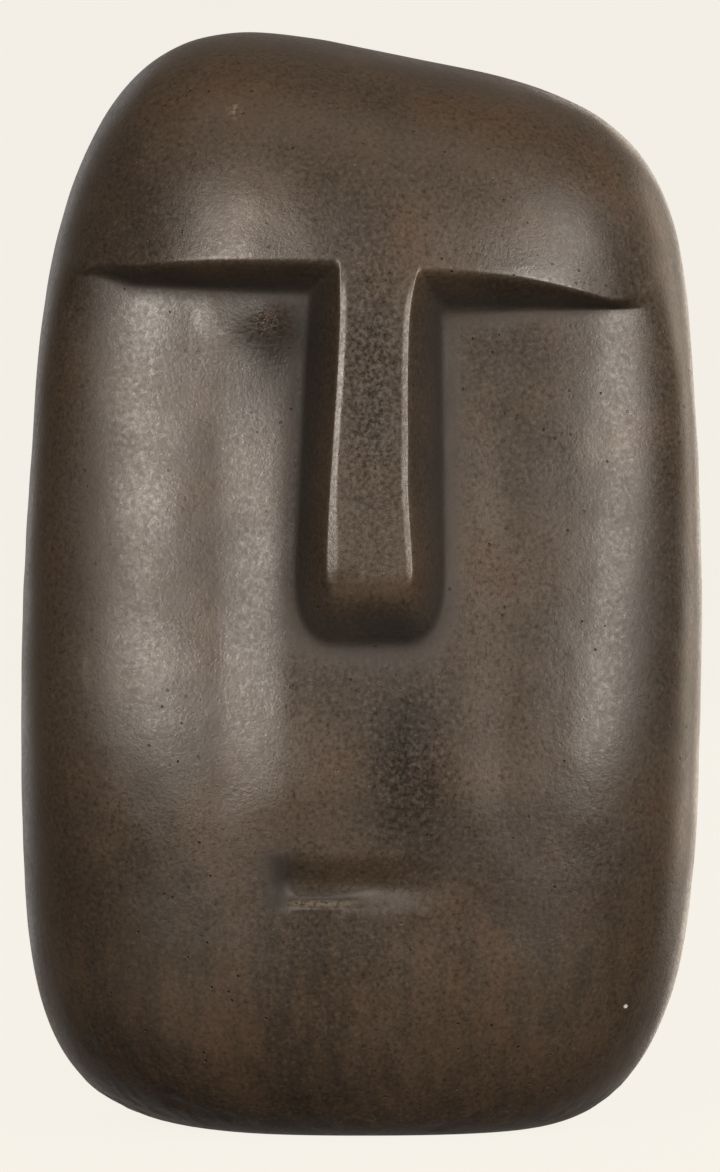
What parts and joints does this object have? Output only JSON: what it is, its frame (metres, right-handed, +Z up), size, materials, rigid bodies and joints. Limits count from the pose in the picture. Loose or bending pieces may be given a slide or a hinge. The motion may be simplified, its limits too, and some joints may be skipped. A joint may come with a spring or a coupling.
{
  "type": "stylised moai head statue",
  "caption": "Stylised moai head in dark brown stone, with a T-shaped brow and nose, no eyes, a short mouth groove and a sloping crown, standing on its flat foot.",
  "frame": {"origin": "on the surface the head stands on, under the middle of its bounding box", "axes": "+Z up the head, -Y out of the face, +X to the viewer's right"},
  "size_m": [0.1842, 0.1172, 0.2964],
  "materials": {
    "dark_stone": "satin"
  },
  "bodies": {
    "root": {"moai_head": "dark_stone"}
  },
  "joints": []
}
